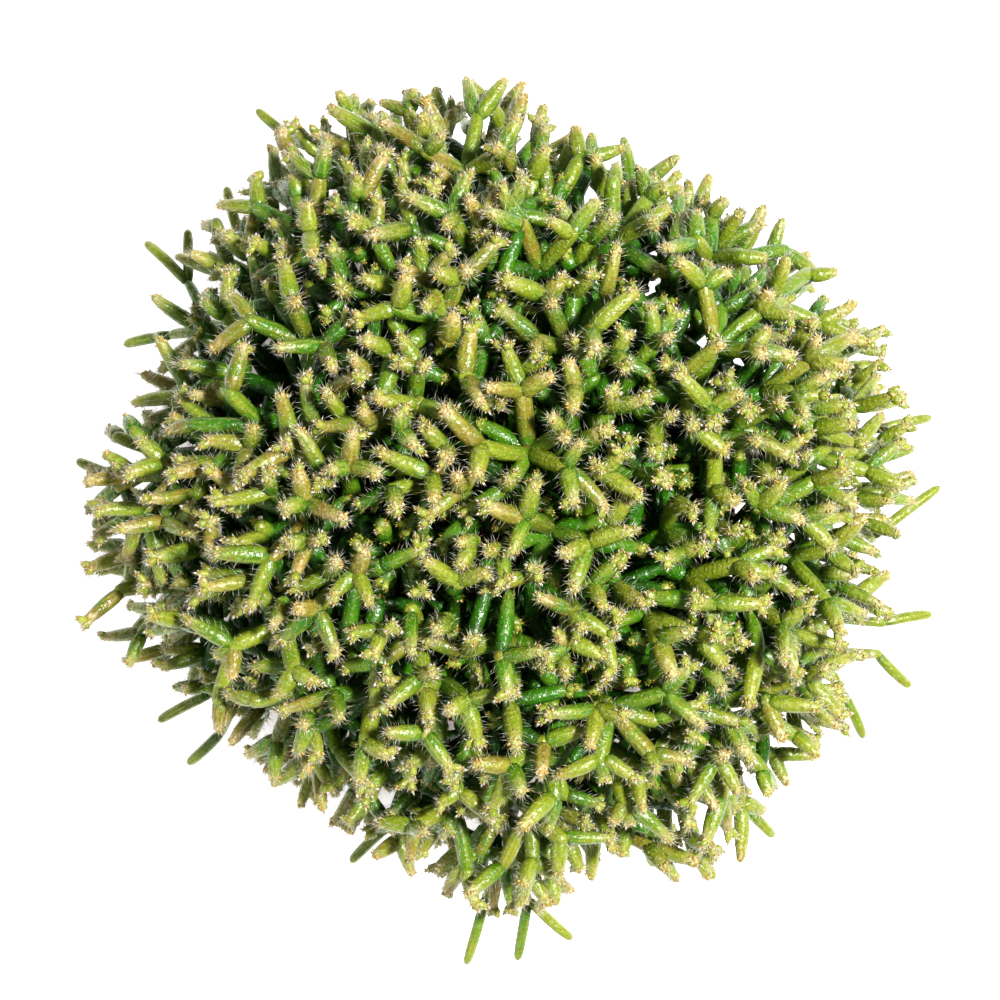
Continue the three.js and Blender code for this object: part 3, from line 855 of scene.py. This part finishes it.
def bristle_material(settings):
    """White bristles, some of them straw-coloured, darker where they stand in their cushion, and painted
    dark green as shade on joints deep in the plant.
    """
    nodes, finish = new_material("bristle")
    number, up, _ = nodes.split(nodes.add("ShaderNodeUVMap", {"uv_map": "OFBake"}))
    straw = (number * 7.3).maths("FRACT")
    colour = nodes.mix(straw.between(0.45, 0.75), settings.bristle_white, settings.bristle_straw)
    colour = nodes.mix((0.2 - up).between(0.0, 0.2) * 0.4, colour, settings.bristle_root)
    # Painted shade: bristles on joints deep in the plant take a dark green in place of their colour.
    colour = nodes.mix(number.maths("GREATER_THAN", 0.5), colour, settings.bristle_shade)
    scale = nodes.mix(straw.between(0.2, 0.8), settings.scale_tan, settings.scale_orange)
    scale = nodes.mix(up.between(0.3, 1.0) * 0.5, scale, settings.bristle_white)
    is_scale = (number * 2).maths("FRACT").maths("GREATER_THAN", SCALES * 0.99)
    return finish(Base_Color=nodes.mix(is_scale, colour, scale), Roughness=0.45)


def pot_material(settings):
    """Matt terracotta-coloured plastic, scuffed at its edges, with lime and dust from watering."""
    nodes, finish = new_material("pot_plastic")
    height = nodes.split(nodes.at())[2]
    clouds, grain = nodes.noise(38, 4), nodes.noise(2600, 2)
    fine = nodes.noise(420, 3)
    colour = nodes.mix(clouds.between(0.3, 0.75), settings.plastic, settings.plastic_pale)
    rim = height.between(0.088, 0.095) * fine.between(0.45, 0.75)
    foot = (0.012 - height).between(0.0, 0.012) * fine.between(0.35, 0.7)
    lime = clouds.between(0.52, 0.8) * fine.between(0.35, 0.8)
    dust = rim.maths("MAXIMUM", foot * 0.7)
    colour = nodes.mix((dust * 0.55).maths("MAXIMUM", lime * 0.3), colour, settings.dust)
    return finish(
        bump=(grain * 0.5 + fine * 0.3, 0.25, 0.0002),
        Base_Color=colour,
        Roughness=0.5 + clouds * 0.15 + dust * 0.2,
    )


def mix_material(settings):
    """Dark peat with paler fibres."""
    nodes, finish = new_material("potting_mix")
    lumps, grain = nodes.noise(420, 4), nodes.noise(1900, 3)
    colour = nodes.mix(lumps.between(0.35, 0.7), settings.peat_dark, settings.peat_light)
    colour = nodes.mix(grain.between(0.6, 0.75) * 0.6, colour, settings.fibre)
    return finish(bump=(lumps + grain * 0.5, 0.8, 0.0008), Base_Color=colour, Roughness=0.95)


def grit_material(settings):
    """White perlite with pits and a little peat on it."""
    nodes, finish = new_material("perlite")
    pits, stain = nodes.noise(2400, 3), nodes.noise(700, 2)
    colour = nodes.mix(stain.between(0.5, 0.7), settings.perlite, settings.peat_light)
    return finish(bump=(pits, 0.6, 0.0003), Base_Color=colour, Roughness=0.85)


def floor_material(settings):
    """Pale paper that gives off a little light of its own, less of it under the plant, as a painted
    shadow there.
    """
    nodes, finish = new_material("pale_floor")
    x, y, _ = nodes.split(nodes.at())
    # Painted shadow: the floor's glow drops under the plant.
    glow_with_painted_shadow = nodes.mix(((x * x + y * y) ** 0.5).between(0.07, 0.1), (0.1, 0.1, 0.1), (1, 1, 1))
    colour, strength = (*settings.floor_colour, 1), settings.floor_glow
    return finish(Base_Color=colour, Roughness=0.9, Emission_Color=glow_with_painted_shadow, Emission_Strength=strength)


# ---------------------------------------------------------------- settings


def colour_setting(name, description, default):
    return bpy.props.FloatVectorProperty(
        name=name, description=description, default=default, subtype="COLOR", size=3, min=0, max=1
    )


def length_setting(name, description, default):
    return bpy.props.FloatProperty(
        name=name, description=description, default=default, min=0, unit="LENGTH", subtype="DISTANCE"
    )


def number_setting(name, description, default, high):
    return bpy.props.FloatProperty(
        name=name, description=description, default=default, min=0, max=high, subtype="FACTOR"
    )


class CactusStemSettings(bpy.types.PropertyGroup):
    # The three greens carry painted light and shade: shade green for joints deep in the plant, body green
    # for half light, and the painted sunlit green for the upper sides of outer joints.
    shade_green: colour_setting("Shade green", "Joints deep in the plant", (0.01, 0.06, 0.001))
    body_green: colour_setting("Body green", "Joints in half light", (0.038, 0.175, 0.001))
    sun_green: colour_setting("Sun green", "Upper side of outer joints", (0.22, 0.288, 0.014))
    sun_brown: colour_setting("Sun brown", "Joints tanned by the sun", (0.26, 0.16, 0.03))
    tip_tan: colour_setting("Tip tan", "Growing ends of joints", (0.58, 0.42, 0.19))
    tip_orange: colour_setting("Tip orange", "Growing ends in full sun", (0.46, 0.28, 0.05))
    bud_yellow: colour_setting("Bud yellow", "Newest buds", (0.45, 0.46, 0.07))
    cushion_cream: colour_setting("Cushion cream", "Felt that bristles stand on", (0.8, 0.76, 0.54))
    curvature: number_setting("Curvature", "Bow of a joint against its length", 0.035, 0.5)


class CactusBristleSettings(bpy.types.PropertyGroup):
    longest: length_setting("Longest bristle", "Length of the longest bristles", 0.003)
    thickness: length_setting("Bristle thickness", "Thickness of a bristle at its root", 0.0001)
    bristle_white: colour_setting("Bristle white", "Most bristles", (0.88, 0.87, 0.78))
    bristle_straw: colour_setting("Bristle straw", "Older bristles", (0.72, 0.56, 0.32))
    bristle_root: colour_setting("Bristle root", "Roots of the bristles", (0.4, 0.32, 0.14))
    bristle_shade: colour_setting("Shaded bristle", "Those deep in the plant", (0.07, 0.16, 0.01))
    scale_tan: colour_setting("Tan scale", "Most scales of the tips", (0.66, 0.5, 0.22))
    scale_orange: colour_setting("Orange scale", "Scales in full sun", (0.52, 0.3, 0.06))


class CactusPotSettings(bpy.types.PropertyGroup):
    plastic: colour_setting("Plastic", "Colour of the pot", (0.33, 0.088, 0.038))
    plastic_pale: colour_setting("Faded plastic", "Where the sun has faded it", (0.39, 0.125, 0.06))
    dust: colour_setting("Dust", "Lime and dust on the pot", (0.55, 0.42, 0.33))
    edge_round: length_setting("Edge rounding", "Radius of the rim's and foot's edges", 0.0008)


class CactusMixSettings(bpy.types.PropertyGroup):
    peat_dark: colour_setting("Damp peat", "Darkest part of the mix", (0.008, 0.005, 0.003))
    peat_light: colour_setting("Dry peat", "Lightest part of the mix", (0.045, 0.027, 0.014))
    fibre: colour_setting("Fibre", "Coarse fibres in the mix", (0.17, 0.11, 0.06))
    perlite: colour_setting("Perlite", "White grains in the mix", (0.75, 0.74, 0.7))
    crumb: length_setting("Crumb size", "Size of the crumbs on the mix", 0.0016)


class CactusStageSettings(bpy.types.PropertyGroup):
    floor_colour: colour_setting("Floor", "Colour of the floor", (0.93, 0.93, 0.93))
    floor_glow: number_setting("Floor glow", "Light that the floor gives off", 0.8, 5)
    camera_distance: length_setting("Camera distance", "From the dome's widest level", 0.75)
    seen_width: length_setting("Seen width", "Width of the picture at that level", 0.23)
    key_power: number_setting("Key light", "Power of the main light, in watts", 32.5, 1000)
    fill_power: number_setting("Fill light", "Power of the second light, in watts", 3.0, 1000)
    sky: number_setting("Sky", "Strength of the light from all round", 0.17, 10)


# ---------------------------------------------------------------- operators


# Buds and bristles come in this many pieces, so that none holds too many triangles.
GROUPS = 8


def seat(piece, slot, *nodes):
    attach(piece, BODY)
    if nodes:
        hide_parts(*nodes)
    # Hairs are too thin for light bounced off them to show, and rays go faster without them.
    piece.visible_diffuse = piece.visible_glossy = "bristle" not in piece.name


def set_pieces(scene, name, groups, wanted, make_shape, material, node=None, by_shade=False):
    """One piece for each rooted stem, or each group of them, with a shape on every joint wanted."""
    plant, shapes = grown_plant(), bpy.data.collections.new("shapes")
    for kind in sorted(PROFILES):
        shape = make_shape(kind)
        scene.collection.objects.unlink(shape)
        shapes.objects.link(shape)
    grown = [i for i in range(plant.count) if wanted(plant.kind[i])]
    curvature = scene.cactus_stems.curvature
    for group in range(groups):
        own = [i for i in grown if plant.stem[i] % groups == group]
        piece = set_on_joints(name.format(group + 1), own, shapes, material, curvature, by_shade)
        seat(piece, "stem", *([node.format(group + 1)] if node else []))
    for shape in list(shapes.objects):
        bpy.data.objects.remove(shape)
    bpy.data.collections.remove(shapes)


class CACTUS_OT_stems(bpy.types.Operator):
    """Grow the jointed stems, one piece for each rooted stem"""

    bl_idname = "cactus.stems"
    bl_label = "Stems"
    bl_options = {"REGISTER", "UNDO"}

    def execute(self, context):
        material = stem_material(context.scene.cactus_stems)
        pieces = context.scene, "stems_{:02d}", STEMS, lambda kind: kind != BUD
        set_pieces(*pieces, joint_shape, material, "spray_{:02d}")
        return {"FINISHED"}


class CACTUS_OT_buds(bpy.types.Operator):
    """Set young buds on the tips of the joints"""

    bl_idname = "cactus.buds"
    bl_label = "Young buds"
    bl_options = {"REGISTER", "UNDO"}

    def execute(self, context):
        material = bpy.data.materials["stem_skin"]
        pieces = context.scene, "young_buds_{}", GROUPS, lambda kind: kind == BUD
        set_pieces(*pieces, joint_shape, material)
        return {"FINISHED"}


class CACTUS_OT_bristles(bpy.types.Operator):
    """Cover the joints and buds with bristles"""

    bl_idname = "cactus.bristles"
    bl_label = "Bristles"
    bl_options = {"REGISTER", "UNDO"}

    def execute(self, context):
        settings = context.scene.cactus_bristles
        longest, thickness = settings.longest / MM, settings.thickness / MM
        pieces = context.scene, "bristles_{}", GROUPS, lambda kind: True
        coat, material = lambda kind: bristle_coat(kind, longest, thickness), bristle_material(settings)
        set_pieces(*pieces, coat, material, by_shade=True)
        return {"FINISHED"}


def lathe(name, profile, sides):
    """A closed shape turned round Z from a profile of (radius, height) in millimetres."""
    return turned(name, [(height * MM, radius * MM) for radius, height in profile], sides)[0]


def wall_at(height):
    return BASE_RADIUS + (RIM_RADIUS - RIM_STEP - BASE_RADIUS) * height / POT_HEIGHT


def rounded(centre_radius, centre_height, radius, low, high, steps=4):
    """Points of a rounded edge in a profile, from one angle to another in degrees."""
    angles = (math.radians(low + (high - low) * k / steps) for k in range(steps + 1))
    return [(centre_radius + radius * math.cos(a), centre_height + radius * math.sin(a)) for a in angles]


RECESS, RECESS_RADIUS = 0.9, 33.0
POT_SIDES, DRILL_SIDES, DRILL_TURN = 96, 24, 0.05


class CACTUS_OT_pot(bpy.types.Operator):
    """Turn the grower's pot with its rim band, foot and drain holes"""

    bl_idname = "cactus.pot"
    bl_label = "Pot"
    bl_options = {"REGISTER", "UNDO"}

    def execute(self, context):
        settings = context.scene.cactus_pot
        edge = settings.edge_round / MM
        band = POT_HEIGHT - RIM_BAND
        inner_top, inner_floor = wall_at(POT_HEIGHT) - POT_WALL, wall_at(POT_FLOOR) - POT_WALL
        outline = [(0, RECESS), (RECESS_RADIUS, RECESS), (RECESS_RADIUS + 0.6, 0.1)]
        outline += rounded(BASE_RADIUS - edge, edge, edge, -90, 0)
        outline += [(wall_at(h), h) for h in (6, 18, 32, 46, 60, 72, band - 0.5)]
        outline += [(wall_at(band) + 0.15, band)]
        outline += rounded(RIM_RADIUS - 0.6, band + 0.6, 0.6, -90, 0, 3)
        outline += [(RIM_RADIUS - 0.1, band + 5)]
        outline += rounded(RIM_RADIUS - edge, POT_HEIGHT - edge, edge, 0, 90)
        outline += rounded(inner_top + 0.5, POT_HEIGHT - 0.5, 0.5, 90, 180, 3)
        outline += [(wall_at(h) - POT_WALL, h) for h in (band, 60, 30, 6)]
        outline += [(inner_floor - 1.2, POT_FLOOR), (0, POT_FLOOR)]
        pot = lathe("pot_shell", outline, POT_SIDES)
        for k in range(DRAIN_HOLES):
            profile = [(0, -2), (DRAIN_RADIUS, -2), (DRAIN_RADIUS, 4), (0, 4)]
            drill = lathe("drill", profile, DRILL_SIDES)
            # Turned a little, so that none of its edges lies on one of the pot's.
            drill.data.transform(Matrix.Rotation(DRILL_TURN, 4, "Z"))
            turn, out = 2 * math.pi * k / DRAIN_HOLES, DRAIN_CIRCLE * MM
            drill.data.transform(Matrix.Translation((out * math.cos(turn), out * math.sin(turn), 0)))
            cut = pot.modifiers.new("Drain", "BOOLEAN")
            cut.operation, cut.object, cut.solver = "DIFFERENCE", drill, "EXACT"
            plain(pot)
            bpy.data.objects.remove(drill)
        pot.data.materials.clear()
        pot.data.materials.append(pot_material(settings))
        seat(pot, "pot", "pot")
        return {"FINISHED"}


def chip_tree():
    """The tree that strews chips over a surface, each turned and sized at random."""
    kinds = {"Surface": "Geometry", "Amount": "Float", "Size": "Float", "Seed": "Int"}
    tree, nodes, given = new_tree("Strew Chips", **kinds, Material="Material")
    surface, amount, size, seed, material = given

    def chance(low, high, shift):
        settings, span = {"data_type": "FLOAT_VECTOR"}, ((low,) * 3, (high,) * 3)
        return nodes.add("FunctionNodeRandomValue", settings, *span, Seed=seed + shift)

    strewn = nodes.add(
        "GeometryNodeDistributePointsOnFaces", None, Mesh=surface, Density=amount, Seed=seed
    )
    chip = nodes.add("GeometryNodeMeshIcoSphere", None, Radius=size, Subdivisions=1)
    places = nodes.add(
        "GeometryNodeInstanceOnPoints", None,
        Points=strewn, Instance=chip, Rotation=chance(0, 6.28, 1), Scale=chance(0.3, 1, 2),
    )  # fmt: skip
    real = nodes.add("GeometryNodeRealizeInstances", None, places)
    dressed = nodes.add("GeometryNodeSetMaterial", None, Geometry=real, Material=material)
    nodes.add("NodeGroupOutput", None, dressed)
    return tree


# The mix: the gap to the pot all round, its shoulder, the rings and sides of its top, how far its
# points sink at random, and the level above which chips lie on it. Chips are a square metre's.
MIX_GAP, MIX_SHOULDER, MIX_RINGS, MIX_SIDES, MIX_SINKS = 0.3, (2.5, 0.6), 14, 64, 0.0012
CHIPS_ABOVE, CRUMBS, PERLITE, PERLITE_SIZE = 0.0885, 130000, 9000, 0.9


class CACTUS_OT_mix(bpy.types.Operator):
    """Fill the pot with potting mix, with crumbs and perlite on top"""

    bl_idname = "cactus.mix"
    bl_label = "Potting mix"
    bl_options = {"REGISTER", "UNDO"}

    def execute(self, context):
        settings = context.scene.cactus_mix
        low, gap = POT_FLOOR + MIX_GAP, POT_WALL + MIX_GAP
        edge = wall_at(SOIL_EDGE) - gap
        outline = [(0, low), (wall_at(low) - gap, low), (edge, SOIL_EDGE)]
        outline += [(edge - MIX_SHOULDER[0], SOIL_EDGE + MIX_SHOULDER[1])]
        for k in range(MIX_RINGS):
            radius = (edge - 2 * MIX_SHOULDER[0]) * (1 - k / MIX_RINGS)
            height = np.interp(radius, (21, 46), (SOIL_MIDDLE, SOIL_SHOULDER))
            outline.append((radius, float(height)))
        soil = lathe("soil_body", outline + [(0, SOIL_MIDDLE)], MIX_SIDES)
        chance = np.random.default_rng(11)
        for vertex in soil.data.vertices[1 + 2 * MIX_SIDES :]:
            vertex.co.z -= MIX_SINKS * chance.random()
        material, tree = mix_material(settings), chip_tree()
        soil.data.materials.append(material)
        seat(soil, "soil", "soil")
        for name, amount, size, seed, finish in (
            ("mix_crumbs", CRUMBS, settings.crumb, 3, material),
            ("mix_perlite", PERLITE, settings.crumb * PERLITE_SIZE, 4, grit_material(settings)),
        ):
            faces = [tuple(p.vertices) for p in soil.data.polygons if p.center.z > CHIPS_ABOVE]
            bed = new_object(name, [v.co for v in soil.data.vertices], faces)
            seat(put_through(tree, bed, Amount=amount, Size=size, Seed=seed, Material=finish), "soil")
        return {"FINISHED"}


AIM = (0, 0, 0.12)
KEY_PLACE, KEY_SIZE, FILL_PLACE, FILL_SIZE = (0.6, 0.1, 1.4), 0.2, (-0.8, -0.6, 0.8), 0.8
FLOOR_RADIUS, FLOOR_DEPTH, FLOOR_TOP, FLOOR_SIDES = 3000, -4, -0.05, 64
SENSOR_WIDTH, CLIP, CAMERA_SHIFT = 36, (0.01, 20), -0.0023


def add_light(name, place, size, power):
    light = bpy.data.lights.new(name, "AREA")
    light.shape, light.size, light.energy = "DISK", size, power
    lamp = bpy.data.objects.new(name, light)
    bpy.context.scene.collection.objects.link(lamp)
    back = unit(tuple(p - a for p, a in zip(place, AIM)))
    side = unit(cross((0, 1, 0) if abs(back[2]) > 0.9 else (0, 0, 1), back))
    up = cross(back, side)
    lamp.matrix_world = Matrix([(side[i], up[i], back[i], place[i]) for i in range(3)] + [(0, 0, 0, 1)])


class CACTUS_OT_stage(bpy.types.Operator):
    """Set the floor, the lights and the camera above the plant"""

    bl_idname = "cactus.stage"
    bl_label = "Stage"
    bl_options = {"REGISTER", "UNDO"}

    def execute(self, context):
        scene, settings = context.scene, context.scene.cactus_stage
        corners = (FLOOR_RADIUS, FLOOR_DEPTH), (FLOOR_RADIUS, FLOOR_TOP)
        floor = lathe("floor", [(0, FLOOR_DEPTH), *corners, (0, FLOOR_TOP)], FLOOR_SIDES)
        floor.data.materials.append(floor_material(settings))
        floor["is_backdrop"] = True
        world = bpy.data.worlds.new("sky")
        world.use_nodes = True
        shade = world.node_tree.nodes["Background"]
        shade.inputs["Color"].default_value = (1, 1, 1, 1)
        shade.inputs["Strength"].default_value = settings.sky
        scene.world = world
        add_light("key", KEY_PLACE, KEY_SIZE, settings.key_power)
        add_light("fill", FILL_PLACE, FILL_SIZE, settings.fill_power)
        camera = bpy.data.cameras.new("camera")
        camera.sensor_width = SENSOR_WIDTH
        camera.lens = SENSOR_WIDTH * settings.camera_distance / settings.seen_width
        camera.clip_start, camera.clip_end = CLIP
        eye = bpy.data.objects.new("camera", camera)
        scene.collection.objects.link(eye)
        eye.location = (0, CAMERA_SHIFT, CROWN_LEVEL * MM + settings.camera_distance)
        scene.camera = eye
        scene.view_settings.view_transform = "Standard"
        scene.view_settings.look = "Medium High Contrast"
        return {"FINISHED"}


OPERATORS = (
    CACTUS_OT_stems, CACTUS_OT_buds, CACTUS_OT_bristles, CACTUS_OT_pot, CACTUS_OT_mix, CACTUS_OT_stage,
)  # fmt: skip
SETTINGS = {
    "cactus_stems": CactusStemSettings,
    "cactus_bristles": CactusBristleSettings,
    "cactus_pot": CactusPotSettings,
    "cactus_mix": CactusMixSettings,
    "cactus_stage": CactusStageSettings,
}


class CACTUS_PT_panel(bpy.types.Panel):
    """Sizes and colours of the cactus, and a button for each group of pieces"""

    bl_idname = "CACTUS_PT_panel"
    bl_label = "Mistletoe cactus"
    bl_space_type = "VIEW_3D"
    bl_region_type = "UI"
    bl_category = "Cactus"

    def draw(self, context):
        for operator in OPERATORS:
            self.layout.operator(operator.bl_idname)
        for name, group in SETTINGS.items():
            box = self.layout.box()
            for setting in group.__annotations__:
                box.prop(getattr(context.scene, name), setting)


def register():
    for group in (*SETTINGS.values(), *OPERATORS, CACTUS_PT_panel):
        bpy.utils.register_class(group)
    for name, group in SETTINGS.items():
        setattr(bpy.types.Scene, name, bpy.props.PointerProperty(type=group))


def unregister():
    for name in SETTINGS:
        delattr(bpy.types.Scene, name)
    for group in (CACTUS_PT_panel, *OPERATORS, *SETTINGS.values()):
        bpy.utils.unregister_class(group)


def main():
    register()
    bpy.ops.cactus.stems()
    bpy.ops.cactus.buds()
    bpy.ops.cactus.bristles()
    bpy.ops.cactus.pot()
    bpy.ops.cactus.mix()
    bpy.ops.cactus.stage()
    boxes = {"cad": CAD_BOX, "visual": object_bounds()}
    {key: [list(corner) for corner in box] for key, box in boxes.items()}


if __name__ == "__main__":
    main()
